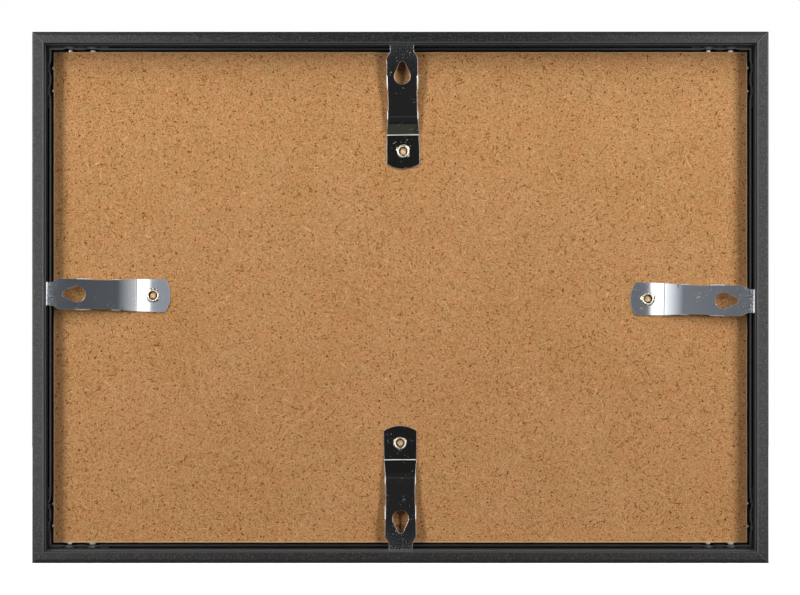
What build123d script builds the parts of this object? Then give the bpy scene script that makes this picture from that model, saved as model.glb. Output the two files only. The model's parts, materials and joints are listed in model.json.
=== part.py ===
from build123d import *
import math
import os

# Picture frame of black aluminium rails, with a hardboard back held by four riveted spring clips.
# It is drawn face down: z counts from the front face to the back, x runs along the long side.
# hang() then stands it up with its back towards -Y, hung by the top clip.

# Sheets in the frame, cut for an A4 picture
sheet_length = 297.0
sheet_height = 210.0
glass_thickness = 2.0
insert_thickness = 0.4
board_thickness = 3.0
sheet_clearance = 0.7  # sheet edge to the rib of the rail

# Rail section, widths counted inward from the outer face
outer_wall = 1.3
key_room = 5.1  # width of the channel for the corner keys
rib_thickness = 0.7
front_overlap = 2.7  # front plate past the edge of the glass
front_plate = 1.4
shelf_thickness = 1.0
shelf_slot = 0.8  # open slot between the shelf and the rib
flange_thickness = 1.2
flange_reach = 4.9
lip_thickness = 1.0
bead_reach = 0.4
bead_height = 0.8

# Rail section, heights above the back of the board
rib_rise = 2.6
tongue_slot = 2.35  # between the rib and the lip, where the clip tongues go
lip_drop = 4.25  # lip edge to the back face
edge_round = 0.6
flange_round = 0.3  # inner edge of the back flange
bead_round = 0.25
front_round = 0.4

# Dents punched into the ribs to grip the corner keys
crimp_first = 14.8  # from the outer corner
crimp_pitch = 9.6
crimp_count = 2
crimp_half_length = 4.2
crimp_depth = 1.3
crimp_height = 4.0
crimp_steps = 3  # flat steps on each flank

# Corner keys
key_leg = 32.0
key_clearance = 0.1
key_notch_spare = 0.2  # notch deeper than the dent
key_tip_chamfer = 0.8

# Tubular rivets, set from the picture side
rivet_setback = 42.6  # sheet edge to the rivet
barrel_radius = 2.25
barrel_wall = 0.52
barrel_clearance = 0.02  # in the board
ring_radius = 2.85
ring_height = 0.75
ring_chamfer = 0.35
head_radius = 3.6
head_thickness = 0.5
head_clearance = 0.1
plug_clearance = 0.05
plug_sink = 0.9  # top of the plug below the rolled ring

# Spring clips, lengths counted from the rivet towards the rail
clip_thickness = 0.5
clip_lift = 0.05  # under the pad
pivot_clearance = 0.05
ring_clearance = 0.08  # between the pad and the rolled ring
pad_half_width = 7.1
pad_end = 7.4
pad_end_radius = 12.6
crease_at = 7.0
crease_half_width = 6.95
crease_radius = 0.8
crease_angle = 18.0
bow_radius = 35.0
crown_radius = 85.0
arm_start = 14.2
arm_start_half_width = 6.5
waist_start = 18.2
waist_end = 27.8
waist_half_width = 6.25
waist_run = 0.3
arm_end = 39.6
arm_end_half_width = 6.65
neck_at = 42.5
tongue_half_width = 5.05
tongue_bend_gap = 0.7  # start of the tongue's curve to the lip edge
tongue_slope = 4.5  # rise of the tongue before its curve
tongue_angle = 1.0  # fall of the tip after it
tongue_radius = 20.0
tongue_reach = 1.4  # tip past the lip edge
tongue_clearance = 0.18  # under the lip
corner_round = 0.5

# Bevels pressed on the clip edges at the two ends of the waist
bevel_width = 0.45
bevel_length_near = 3.4
bevel_length_far = 5.6

# Teardrop hanging hole, narrow end towards the rail
hang_round_at = 32.1
hang_round_radius = 3.45
hang_tip_at = 37.45
hang_tip_radius = 1.05

# Where each clip sits: shift of its rivet along the side, and how far it is skewed, in degrees
clip_seats = {
    "bottom": (-0.1, 0.25),
    "right": (-0.64, -1.28),
    "top": (-1.2, 0.7),
    "left": (-0.8, -1.0),
}

# Worked out from the sizes above
rib_outer = outer_wall + key_room
rib_inner = rib_outer + rib_thickness
sheet_inset = rib_inner + sheet_clearance
front_reach = sheet_inset + front_overlap
frame_length = sheet_length + 2 * sheet_inset
frame_height = sheet_height + 2 * sheet_inset
glass_back = front_plate + glass_thickness
insert_back = glass_back + insert_thickness
board_back = insert_back + board_thickness
rib_top = board_back + rib_rise
shelf_bottom = rib_top - shelf_thickness
shelf_reach = rib_outer - shelf_slot
lip_bottom = rib_top + tongue_slot
lip_outer = flange_reach - lip_thickness
bead_edge = flange_reach + bead_reach
frame_depth = lip_bottom + lip_drop
rivet_inset = sheet_inset + rivet_setback
pad_top = board_back + clip_lift + clip_thickness
ring_bottom = pad_top + ring_clearance
ring_top = ring_bottom + ring_height
head_back = insert_back + head_thickness
bore_radius = barrel_radius - barrel_wall
tongue_bend_at = rivet_inset - bead_edge - tongue_bend_gap
tongue_tip_at = rivet_inset - bead_edge + tongue_reach
tongue_rise = tongue_radius * (1 - math.cos(math.radians(tongue_slope)))
tongue_top = lip_bottom - tongue_clearance - tongue_rise
crimp_places = [crimp_first + i * crimp_pitch for i in range(crimp_count)]

# Each side: turn from the bottom side, its outer length, and its distance from the middle
sides = {
    "bottom": (0, frame_length, frame_height / 2),
    "right": (90, frame_height, frame_length / 2),
    "top": (180, frame_length, frame_height / 2),
    "left": (270, frame_height, frame_length / 2),
}

# Each corner: turn from the bottom left corner, and the signs of its place
corners = {
    "bottom_left": (0, -1, -1),
    "bottom_right": (90, 1, -1),
    "top_right": (180, 1, 1),
    "top_left": (270, -1, 1),
}


def side_place(side):
    turn, _, reach = sides[side]
    return Rot(0, 0, turn) * Pos(0, -reach, 0)


def clip_place(side):
    shift, skew = clip_seats[side]
    return side_place(side) * Pos(shift, rivet_inset, 0) * Rot(0, 0, skew)


def rail_section():
    outline = Polyline(
        (0, 0),
        (front_reach, 0),
        (front_reach, front_plate),
        (rib_inner, front_plate),
        (rib_inner, rib_top),
        (rib_outer, rib_top),
        (rib_outer, front_plate),
        (outer_wall, front_plate),
        (outer_wall, shelf_bottom),
        (shelf_reach, shelf_bottom),
        (shelf_reach, rib_top),
        (outer_wall, rib_top),
        (outer_wall, frame_depth - flange_thickness),
        (lip_outer, frame_depth - flange_thickness),
        (lip_outer, lip_bottom),
        (bead_edge, lip_bottom),
        (bead_edge, lip_bottom + bead_height),
        (flange_reach, lip_bottom + bead_height + bead_reach),
        (flange_reach, frame_depth),
        (0, frame_depth),
        close=True,
    )
    section = make_face(outline)
    for round_radius, places in (
        (edge_round, [(0, frame_depth)]),
        (flange_round, [(flange_reach, frame_depth)]),
        (front_round, [(0, 0), (front_reach, 0)]),
        (bead_round, [(bead_edge, lip_bottom), (bead_edge, lip_bottom + bead_height)]),
    ):
        for place in places:
            corner = section.vertices().sort_by_distance(Vector(*place))[0]
            section = fillet(corner, round_radius)
    return section


def rib_face(along, lean):
    """Upper part of the rib's section at one place, its top edge pushed out by lean."""
    low = rib_top - crimp_height
    outline = Polyline(
        (rib_outer, low),
        (rib_inner, low),
        (rib_inner - lean, rib_top),
        (rib_outer - lean, rib_top),
        close=True,
    )
    return Plane((along, 0, 0), x_dir=(0, 1, 0), z_dir=(1, 0, 0)) * make_face(outline)


def crimp_dent(along):
    """Pointed at the punch mark, and easing into the straight rib on both sides."""
    faces = []
    for step in range(-crimp_steps, crimp_steps + 1):
        share = step / crimp_steps
        faces.append(rib_face(along + share * crimp_half_length, crimp_depth * (1 - abs(share)) ** 2))
    return loft(faces, ruled=True)


def rail(length):
    across = Plane((-length / 2, 0, 0), x_dir=(0, 1, 0), z_dir=(1, 0, 0))
    solid = extrude(across * rail_section(), length)
    window = Box(
        2 * crimp_half_length,
        rib_thickness,
        crimp_height,
        align=(Align.CENTER, Align.MIN, Align.MAX),
    )
    for end in (-1, 1):
        for place in crimp_places:
            along = end * (length / 2 - place)
            solid -= Pos(along, rib_outer, rib_top) * window
            solid += crimp_dent(along)
        mitre = Plane((end * length / 2, 0, 0), z_dir=(end, 1, 0))
        solid = split(solid, bisect_by=mitre, keep=Keep.BOTTOM)
    return solid


def corner_key():
    low = outer_wall + key_clearance
    high = rib_outer - key_clearance
    outline = Polyline(
        (low, low),
        (key_leg, low),
        (key_leg, high),
        (high, high),
        (high, key_leg),
        (low, key_leg),
        close=True,
    )
    plan = make_face(outline)
    tips = [v for v in plan.vertices() if max(v.X, v.Y) > key_leg - key_clearance]
    plan = chamfer(tips, key_tip_chamfer)
    notch_depth = crimp_depth + key_notch_spare
    notch_radius = (crimp_half_length**2 + notch_depth**2) / (2 * notch_depth)
    for place in crimp_places:
        plan -= Pos(place, rib_outer - notch_depth + notch_radius) * Circle(notch_radius)
        plan -= Pos(rib_outer - notch_depth + notch_radius, place) * Circle(notch_radius)
    height = shelf_bottom - front_plate - 2 * key_clearance
    return Pos(0, 0, front_plate + key_clearance) * extrude(plan, height)


def sheet(bottom, thickness):
    plate = Box(sheet_length, sheet_height, thickness, align=(Align.CENTER, Align.CENTER, Align.MIN))
    return Pos(0, 0, bottom) * plate


def back_board():
    board = sheet(insert_back, board_thickness)
    hole = Cylinder(
        barrel_radius + barrel_clearance,
        board_thickness,
        align=(Align.CENTER, Align.CENTER, Align.MIN),
    )
    seat = Cylinder(
        head_radius + head_clearance,
        head_thickness,
        align=(Align.CENTER, Align.CENTER, Align.MIN),
    )
    for side in clip_seats:
        board -= clip_place(side) * Pos(0, 0, insert_back) * (hole + seat)
    return board


def clip_rivet():
    """Closed head on the picture side, barrel through board and clip, end rolled over the clip."""
    profile = Polyline(
        (0, insert_back),
        (head_radius, insert_back),
        (head_radius, head_back),
        (barrel_radius, head_back),
        (barrel_radius, ring_bottom),
        (ring_radius, ring_bottom),
        (ring_radius, ring_top - ring_chamfer),
        (ring_radius - ring_chamfer, ring_top),
        (bore_radius + ring_chamfer, ring_top),
        (bore_radius, ring_top - ring_chamfer),
        (bore_radius, head_back),
        (0, head_back),
        close=True,
    )
    return revolve(Plane.XZ * make_face(profile), Axis.Z)


def board_plug():
    height = ring_top - plug_sink - head_back - plug_clearance
    plug = Cylinder(bore_radius - plug_clearance, height, align=(Align.CENTER, Align.CENTER, Align.MIN))
    return Pos(0, 0, head_back + plug_clearance) * plug


def clip_path():
    """Middle line of the bent strip: pad, crease, bow, straight arm, crown, tongue and its curved tip."""
    half = clip_thickness / 2
    pad_level = board_back + clip_lift + half
    pad = Line((-pad_end - half, pad_level), (crease_at, pad_level))
    crease = JernArc(pad @ 1, pad % 1, crease_radius, crease_angle)
    lift = math.radians(crease_angle)
    bow_start = crease @ 1
    bow_centre = bow_start + Vector(math.sin(lift), -math.cos(lift)) * bow_radius
    rise = math.radians(tongue_slope)
    bend_start = Vector(tongue_bend_at, tongue_top - half)
    crown_end = bend_start - Vector(1, math.tan(rise)) * (tongue_bend_at - neck_at)
    crown_centre = crown_end + Vector(math.sin(rise), -math.cos(rise)) * crown_radius
    span = crown_centre - bow_centre
    slope = math.atan2(span.Y, span.X) + math.asin((crown_radius - bow_radius) / span.length)
    arm_slope = math.degrees(slope)
    bow = JernArc(bow_start, crease % 1, bow_radius, arm_slope - crease_angle)
    crown_start = crown_centre + Vector(-math.sin(slope), math.cos(slope)) * crown_radius
    arm = Line(bow @ 1, crown_start)
    crown = JernArc(crown_start, arm % 1, crown_radius, tongue_slope - arm_slope)
    tongue = Line(crown @ 1, bend_start)
    bend = JernArc(tongue @ 1, tongue % 1, tongue_radius, -tongue_slope - tongue_angle)
    tip_length = (tongue_tip_at - (bend @ 1).X) / math.cos(math.radians(tongue_angle))
    tip = Line(bend @ 1, bend @ 1 + (bend % 1) * tip_length)
    return Wire([pad, crease, bow, arm, crown, tongue, bend, tip]), arm, slope


def clip_outline():
    pad_corner = pad_end - pad_end_radius + math.sqrt(pad_end_radius**2 - pad_half_width**2)
    edge = [
        (pad_half_width, pad_corner),
        (crease_half_width, -crease_at),
        (arm_start_half_width, -arm_start),
        (arm_start_half_width, -waist_start),
        (waist_half_width, -waist_start - waist_run),
        (waist_half_width, -waist_end + waist_run),
        (arm_start_half_width, -waist_end),
        (arm_end_half_width, -arm_end),
        (tongue_half_width, -neck_at),
        (tongue_half_width, -tongue_tip_at - clip_thickness),
    ]
    mirrored = [(-x, y) for x, y in reversed(edge)]
    outline = Polyline(*edge, *mirrored)
    outline += ThreePointArc(mirrored[-1], (0, pad_end), edge[0])
    plan = make_face(outline)
    rounded = [(arm_end_half_width, -arm_end), (tongue_half_width, -neck_at), (pad_half_width, pad_corner)]
    for x, y in rounded + [(-x, y) for x, y in rounded]:
        corner = plan.vertices().sort_by_distance(Vector(x, y))[0]
        plan = fillet(corner, corner_round)
    return plan


def teardrop():
    """Round end and narrow tip joined by their common tangents."""
    lean = math.asin((hang_round_radius - hang_tip_radius) / (hang_tip_at - hang_round_at))
    sides_of_drop = []
    for radius, at in ((hang_round_radius, hang_round_at), (hang_tip_radius, hang_tip_at)):
        sides_of_drop.append((radius * math.cos(lean), -at - radius * math.sin(lean)))
    (wide, wide_at), (narrow, narrow_at) = sides_of_drop
    wedge = Polyline((wide, wide_at), (narrow, narrow_at), (-narrow, narrow_at), (-wide, wide_at), close=True)
    drop = make_face(wedge)
    drop += Pos(0, -hang_round_at) * Circle(hang_round_radius)
    drop += Pos(0, -hang_tip_at) * Circle(hang_tip_radius)
    return drop


def edge_bevels(arm, slope):
    """Wedges that bevel the back edges of the strip beside both ends of the waist."""
    wedges = []
    spans = (
        (waist_start - bevel_length_near, waist_start),
        (waist_end, waist_end + bevel_length_far),
    )
    start = arm @ 0
    for near, far in spans:
        middle = (near + far) / 2
        level = start.Y + (middle - start.X) * math.tan(slope) + clip_thickness / 2 / math.cos(slope)
        bar = Rot(0, 45, 0) * Box(bevel_width, far - near, bevel_width)
        tilted = Rot(-math.degrees(slope), 0, 0) * bar
        for hand in (-1, 1):
            wedges.append(Pos(hand * arm_start_half_width, -middle, level) * tilted)
    return wedges


def spring_clip():
    path, arm, slope = clip_path()
    along = Plane((0, 0, 0), x_dir=(0, -1, 0), z_dir=(-1, 0, 0))
    strip_section = along * make_face(offset(path, clip_thickness / 2, side=Side.BOTH, closed=True))
    strip = extrude(strip_section, pad_half_width, both=True)
    plan = clip_outline() - Circle(barrel_radius + pivot_clearance) - teardrop()
    clip = strip & extrude(plan, frame_depth)
    for wedge in edge_bevels(arm, slope):
        clip -= wedge
    return clip


def hang_point():
    """Where the nail sits, in the narrow end of the top clip's hole, on the plane of the wall."""
    return (clip_place("top") * Pos(0, -hang_tip_at, frame_depth)).position


def hang(solid):
    return Rot(90, 0, 0) * Pos(-hang_point()) * solid


def frame_pieces():
    pieces = {}
    for side, (_, length, _) in sides.items():
        pieces[f"rail_{side}"] = side_place(side) * rail(length)
    for corner, (turn, sign_x, sign_y) in corners.items():
        place = Pos(sign_x * frame_length / 2, sign_y * frame_height / 2, 0) * Rot(0, 0, turn)
        pieces[f"corner_key_{corner}"] = place * corner_key()
    pieces["glass_pane"] = sheet(front_plate, glass_thickness)
    pieces["insert_sheet"] = sheet(glass_back, insert_thickness)
    pieces["back_board"] = back_board()
    for side in clip_seats:
        pieces[f"spring_clip_{side}"] = clip_place(side) * spring_clip()
        pieces[f"clip_rivet_{side}"] = clip_place(side) * clip_rivet()
        pieces[f"board_plug_{side}"] = clip_place(side) * board_plug()
    return pieces


os.makedirs("parts", exist_ok=True)
for name, piece in frame_pieces().items():
    export_step(hang(piece), f"parts/{name}.step")
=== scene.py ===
import json
import math
import random

import bpy
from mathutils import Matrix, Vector


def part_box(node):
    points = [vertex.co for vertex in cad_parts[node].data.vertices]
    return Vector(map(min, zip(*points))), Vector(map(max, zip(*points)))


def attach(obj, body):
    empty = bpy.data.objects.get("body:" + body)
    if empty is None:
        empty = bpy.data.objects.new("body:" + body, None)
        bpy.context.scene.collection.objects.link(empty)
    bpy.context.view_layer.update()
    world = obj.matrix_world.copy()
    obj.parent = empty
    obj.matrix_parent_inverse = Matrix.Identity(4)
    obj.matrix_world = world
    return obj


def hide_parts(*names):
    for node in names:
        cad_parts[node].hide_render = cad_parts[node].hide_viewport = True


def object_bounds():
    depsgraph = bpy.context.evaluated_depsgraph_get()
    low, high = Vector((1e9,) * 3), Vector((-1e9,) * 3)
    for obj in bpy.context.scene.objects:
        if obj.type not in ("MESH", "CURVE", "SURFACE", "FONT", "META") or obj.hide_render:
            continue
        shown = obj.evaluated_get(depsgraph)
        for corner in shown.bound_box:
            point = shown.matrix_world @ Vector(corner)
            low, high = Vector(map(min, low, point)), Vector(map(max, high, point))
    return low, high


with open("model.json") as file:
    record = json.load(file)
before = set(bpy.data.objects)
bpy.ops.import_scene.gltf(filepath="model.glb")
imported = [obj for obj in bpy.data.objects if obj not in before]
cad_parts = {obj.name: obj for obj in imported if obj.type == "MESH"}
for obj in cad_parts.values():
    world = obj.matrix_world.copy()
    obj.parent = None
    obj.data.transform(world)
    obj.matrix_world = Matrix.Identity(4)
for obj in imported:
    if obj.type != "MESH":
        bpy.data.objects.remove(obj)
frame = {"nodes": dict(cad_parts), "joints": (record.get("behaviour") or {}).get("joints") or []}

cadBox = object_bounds()
mm = 0.001
sides = ["top", "right", "bottom", "left"]

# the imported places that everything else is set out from
rivetAt = {}
for joint in frame["joints"]:
    rivetAt[joint["child"].replace("clip_", "")] = Vector(joint["pos_m"])
boardLow, boardHigh = (Vector(v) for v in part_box("back_board"))
frameLow, frameHigh = Vector(cadBox[0]), Vector(cadBox[1])
middle = (frameLow + frameHigh) / 2
halfLong = (frameHigh.x - frameLow.x) / 2
halfTall = (frameHigh.z - frameLow.z) / 2
print("frame loaded:", len(frame["nodes"]), "nodes")


def makeActive(obj):
    if bpy.context.object and bpy.context.object.mode != "OBJECT":
        bpy.ops.object.mode_set(mode="OBJECT")
    bpy.ops.object.select_all(action="DESELECT")
    if obj:
        obj.select_set(True)
        bpy.context.view_layer.objects.active = obj


def editAll(obj):
    makeActive(obj)
    bpy.ops.object.mode_set(mode="EDIT")
    bpy.ops.mesh.select_mode(type="VERT")
    bpy.ops.mesh.select_all(action="SELECT")


def objectMode():
    bpy.ops.object.mode_set(mode="OBJECT")


def smoothBelow(obj, degrees):
    makeActive(obj)
    bpy.ops.object.shade_smooth_by_angle(angle=math.radians(degrees), keep_sharp_edges=False)


def standUp(obj, turn, place):
    # pieces are made lying face down, then turned to their side and stood up
    makeActive(obj)
    obj.rotation_mode = "ZYX"
    obj.rotation_euler = (math.radians(90), 0, math.radians(turn))
    obj.location = place
    bpy.ops.object.transform_apply(location=True, rotation=True, scale=True)
    obj.rotation_mode = "XYZ"


def copyOf(obj, name):
    twin = obj.copy()
    twin.data = obj.data.copy()
    twin.name = name
    twin.data.name = name
    bpy.context.collection.objects.link(twin)
    return twin


def arcPoints(centre, radius, start, end, steps):
    wide, tall = radius if isinstance(radius, tuple) else (radius, radius)
    angles = [math.radians(start + (end - start) * i / steps) for i in range(steps + 1)]
    return [(centre[0] + wide * math.cos(a), centre[1] + tall * math.sin(a)) for a in angles]


def latheShape(name, points, steps):
    # one vertex drawn out along the profile, then spun round the axis
    makeActive(None)
    bpy.ops.mesh.primitive_plane_add(size=mm)
    obj = bpy.context.object
    obj.name = name
    editAll(obj)
    bpy.ops.mesh.merge(type="CENTER")
    bpy.ops.transform.translate(value=(points[0][0] * mm, 0, points[0][1] * mm))
    for (r0, z0), (r1, z1) in zip(points, points[1:]):
        step = ((r1 - r0) * mm, 0, (z1 - z0) * mm)
        bpy.ops.mesh.extrude_vertices_move(TRANSFORM_OT_translate={"value": step})
    bpy.ops.mesh.select_all(action="SELECT")
    bpy.ops.mesh.spin(steps=steps, angle=math.radians(360), center=(0, 0, 0), axis=(0, 0, 1))
    bpy.ops.mesh.select_all(action="SELECT")
    bpy.ops.mesh.remove_doubles(threshold=0.003 * mm)
    bpy.ops.mesh.normals_make_consistent(inside=False)
    objectMode()
    return obj


# shader helpers

def addNode(tree, kind, values=None, **settings):
    node = tree.nodes.new(kind)
    for key, value in settings.items():
        setattr(node, key, value)
    for key, value in (values or {}).items():
        if isinstance(value, bpy.types.NodeSocket):
            tree.links.new(value, node.inputs[key])
        else:
            node.inputs[key].default_value = value
    return node


def mathNode(tree, operation, a, b=0.0, clamp=False):
    return addNode(tree, "ShaderNodeMath", {0: a, 1: b}, operation=operation, use_clamp=clamp).outputs[0]


def plus(tree, a, b):
    return mathNode(tree, "ADD", a, b)


def minus(tree, a, b):
    return mathNode(tree, "SUBTRACT", a, b)


def times(tree, a, b):
    return mathNode(tree, "MULTIPLY", a, b)


def larger(tree, a, b):
    return mathNode(tree, "MAXIMUM", a, b)


def smaller(tree, a, b):
    return mathNode(tree, "MINIMUM", a, b)


def awayFrom(tree, value, centre):
    return mathNode(tree, "ABSOLUTE", minus(tree, value, centre))


def insetFrom(tree, value, low, high):
    # how far in from the nearer of two ends, value in mm and ends in metres
    return minus(tree, (high - low) / 2 / mm, awayFrom(tree, value, (low + high) / 2 / mm))


def rangeNode(tree, value, fromLow, fromHigh, toLow=0.0, toHigh=1.0):
    values = {0: value, 1: fromLow, 2: fromHigh, 3: toLow, 4: toHigh}
    return addNode(tree, "ShaderNodeMapRange", values).outputs[0]


def bandMask(tree, value, low, high, soft):
    rise = rangeNode(tree, value, low - soft, low)
    return times(tree, rise, rangeNode(tree, value, high, high + soft, 1.0, 0.0))


def mixColour(tree, mask, a, b):
    return addNode(tree, "ShaderNodeMix", {0: mask, 6: a, 7: b}, data_type="RGBA").outputs[2]


def noiseNode(tree, vector, scale, detail=2.0, rough=0.5):
    values = {"Vector": vector, "Scale": scale, "Detail": detail, "Roughness": rough}
    return addNode(tree, "ShaderNodeTexNoise", values).outputs["Fac"]


def dashLines(tree, vector, length, width, turns, cut, slope=16.0):
    # short straight marks, where noise stretched along each of the turns rises over the cut
    total = None
    for turn in turns:
        values = {"Vector": vector, "Scale": (length, width, 1), "Rotation": (0, 0, turn)}
        along = addNode(tree, "ShaderNodeMapping", values, vector_type="TEXTURE").outputs[0]
        noise = noiseNode(tree, along, 1.0, 0.0)
        line = mathNode(tree, "MULTIPLY", minus(tree, noise, cut), slope, clamp=True)
        total = line if total is None else larger(tree, total, line)
    return total


def axisParts(tree, vector):
    return addNode(tree, "ShaderNodeSeparateXYZ", {0: vector}).outputs


def randomCells(tree, vector, size):
    # one random value for each small cell, size in mm
    cell = addNode(tree, "ShaderNodeTexVoronoi", {"Vector": vector, "Scale": 1 / size})
    return axisParts(tree, cell.outputs["Color"])[0]


def flatCells(tree, vector, size):
    values = {"Vector": vector, "Scale": 1 / size}
    return addNode(tree, "ShaderNodeTexVoronoi", values, voronoi_dimensions="2D").outputs


def bumpNode(tree, height, strength, distance):
    values = {"Strength": strength, "Distance": distance, "Height": height}
    return addNode(tree, "ShaderNodeBump", values).outputs["Normal"]


def newMaterial(name, **plain):
    # hands back the place on the piece in mm, with the back of the frame as the flat plane
    mat = bpy.data.materials.new(name)
    mat.use_nodes = True
    tree = mat.node_tree
    shader = tree.nodes["Principled BSDF"]
    for key, value in plain.items():
        shader.inputs[key.replace("_", " ")].default_value = value
    values = {
        "Vector": addNode(tree, "ShaderNodeTexCoord").outputs["Object"],
        "Scale": (1 / mm, 1 / mm, 1 / mm), "Rotation": (math.radians(-90), 0, 0),
    }
    return mat, tree, shader, addNode(tree, "ShaderNodeMapping", values).outputs[0]


def newGroup(name, inputs, outputs):
    group = bpy.data.node_groups.new(name, "ShaderNodeTree")
    for label, kind, value in inputs:
        socket = group.interface.new_socket(label, in_out="INPUT", socket_type=kind)
        if value is not None:
            socket.default_value = value
    for label in outputs:
        group.interface.new_socket(label, in_out="OUTPUT", socket_type="NodeSocketFloat")
    return group, group.nodes.new("NodeGroupInput").outputs, group.nodes.new("NodeGroupOutput").inputs


def useGroup(tree, group, vector, **values):
    return addNode(tree, "ShaderNodeGroup", {"Vector": vector, **values}, node_tree=group).outputs


def dress(obj, mat):
    obj.data.materials.clear()
    obj.data.materials.append(mat)


# effects that several materials share, sizes in mm and scales per mm
scratchForm = {
    "length": 0.9, "width": 0.2, "turns": (0.1, 1.45, 2.5), "patch": 0.22, "patchFrom": (0.48, 0.66),
}
grainForm = {"fleck": 0.42, "drift": 0.035}


def scratchGroup(s):
    # sparse hair lines in three directions, gathered in patches
    inputs = [("Vector", "NodeSocketVector", None), ("Cut", "NodeSocketFloat", 0.78)]
    group, given, out = newGroup("hairScratches", inputs, ["Mask"])
    lines = dashLines(group, given["Vector"], s["length"], s["width"], s["turns"], given["Cut"])
    patch = rangeNode(group, noiseNode(group, given["Vector"], s["patch"]), *s["patchFrom"])
    group.links.new(times(group, lines, patch), out["Mask"])
    return group


def grainGroup(g):
    # small random flecks, even fine grain, and a slow drift across the piece
    inputs = [("Vector", "NodeSocketVector", None), ("Scale", "NodeSocketFloat", 1.0)]
    group, given, out = newGroup("fineGrain", inputs, ["Fleck", "Grain", "Drift"])
    group.links.new(randomCells(group, given["Vector"], g["fleck"]), out["Fleck"])
    group.links.new(noiseNode(group, given["Vector"], given["Scale"], 2.0, 0.6), out["Grain"])
    group.links.new(noiseNode(group, given["Vector"], g["drift"]), out["Drift"])
    return group


scratches = scratchGroup(scratchForm)
grain = grainGroup(grainForm)

# black coat of the rails: bands are mm in from the outer edge, or in depth from the back
railCoat = {
    "dark": (0.0, 0.0, 0.0, 1), "light": (0.052, 0.052, 0.053, 1), "worn": (0.13, 0.13, 0.13, 1),
    # next line: painted highlight for the flange's inner edge (side rails, then top and bottom rails) and
    # painted shade for the channel
    "rubbed": (0.09, 0.09, 0.091, 1), "soft": (0.03, 0.03, 0.031, 1), "channel": (0.002, 0.002, 0.002, 1),
    # painted highlight for the lip's bead, the second colour for the top rail
    "bead": (0.065, 0.065, 0.066, 1), "beadHigh": (0.12, 0.15, 0.2, 1),
    "speckle": 1.9, "fleckPower": 4.0, "rough": (0.36, 0.26), "mitreWidth": 0.2,
    "flangeEdge": (4.55, 4.9, 0.2), "flangeDepth": (0.4, 0.8), "flangeRough": 0.3,
    "insideFrom": (2.0, 2.5), "insideDepth": (0.9, 14.5, 0.4),
    "beadAt": (5.0, 5.35, 0.05), "beadDepth": (3.0, 3.9, 0.1), "lipEnd": (5.4, 5.8), "lipRough": 0.4,
    "outsideEnd": (0.1, 0.4), "outsideDepth": (0.5, 0.9), "outsideRough": 0.34,
    "edgeRound": 1.8, "edgeFall": 0.3, "grainHeight": 0.03,
}


def makeRailCoat(c):
    mat, tree, shader, place = newMaterial("blackCoat")
    speck = useGroup(tree, grain, place, Scale=c["speckle"])
    x, z, forward = axisParts(tree, place)
    insetX = insetFrom(tree, x, frameLow.x, frameHigh.x)
    insetZ = insetFrom(tree, z, frameLow.z, frameHigh.z)
    inset = smaller(tree, insetX, insetZ)
    depth = times(tree, forward, -1.0)
    onSides = mathNode(tree, "LESS_THAN", insetX, insetZ)
    onLevels = mathNode(tree, "LESS_THAN", insetZ, insetX)
    # fine flecks, which fade where the top and bottom rails round off: painted shade, darkening the coat
    # towards the outer edge of the top and bottom rails only
    flat = larger(tree, rangeNode(tree, insetZ, 0.0, c["edgeRound"]), onSides)
    flecks = times(tree, mathNode(tree, "POWER", speck["Fleck"], c["fleckPower"]), flat)
    colour = mixColour(tree, flecks, c["dark"], c["light"])
    # the coat is thin along the four slanting corner joints
    gap = awayFrom(tree, insetX, insetZ)
    joint = rangeNode(tree, gap, c["mitreWidth"] * 0.4, c["mitreWidth"], 1.0, 0.0)
    joint = times(tree, joint, rangeNode(tree, speck["Drift"], 0.4, 0.6, 0.5, 0.9))
    colour = mixColour(tree, joint, colour, c["worn"])
    # painted highlight along the flange's inner edge, where its rounding catches the side lamps: light on
    # the side rails, dim on the top and bottom rails; the edge is also dulled
    atBack = rangeNode(tree, depth, *c["flangeDepth"], 1.0, 0.0)
    edge = times(tree, bandMask(tree, inset, *c["flangeEdge"]), atBack)
    colour = mixColour(tree, edge, colour, mixColour(tree, onSides, c["soft"], c["rubbed"]))
    # dull on the lip and in the channel, where painted shade turns the coat near black, apart from the lip's
    # bead, which gets a painted highlight
    inside = times(tree, rangeNode(tree, inset, *c["insideFrom"]), bandMask(tree, depth, *c["insideDepth"]))
    colour = mixColour(tree, inside, colour, c["channel"])
    # painted highlight on the lip's bead, lighter and bluish on the top rail
    bead = times(tree, bandMask(tree, inset, *c["beadAt"]), bandMask(tree, depth, *c["beadDepth"]))
    onTop = times(tree, onLevels, mathNode(tree, "GREATER_THAN", z, middle.z / mm))
    colour = mixColour(tree, bead, colour, mixColour(tree, onTop, c["bead"], c["beadHigh"]))
    tree.links.new(colour, shader.inputs["Base Color"])
    rough = rangeNode(tree, speck["Grain"], 0.3, 0.7, *c["rough"])
    dull = times(tree, inside, rangeNode(tree, inset, *c["lipEnd"], c["lipRough"], 0.0))
    dull = larger(tree, dull, times(tree, edge, c["flangeRough"]))
    outside = rangeNode(tree, inset, *c["outsideEnd"], c["outsideRough"], 0.0)
    outside = times(tree, outside, rangeNode(tree, depth, *c["outsideDepth"]))
    tree.links.new(plus(tree, rough, larger(tree, dull, outside)), shader.inputs["Roughness"])
    # top and bottom round off towards the outer edge, under the grain of the coat
    fall = times(tree, larger(tree, minus(tree, c["edgeRound"], insetZ), 0.0), onLevels)
    height = times(tree, times(tree, fall, fall), -c["edgeFall"])
    height = plus(tree, height, times(tree, speck["Grain"], c["grainHeight"]))
    tree.links.new(bumpNode(tree, height, 1.0, mm), shader.inputs["Normal"])
    return mat


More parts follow.
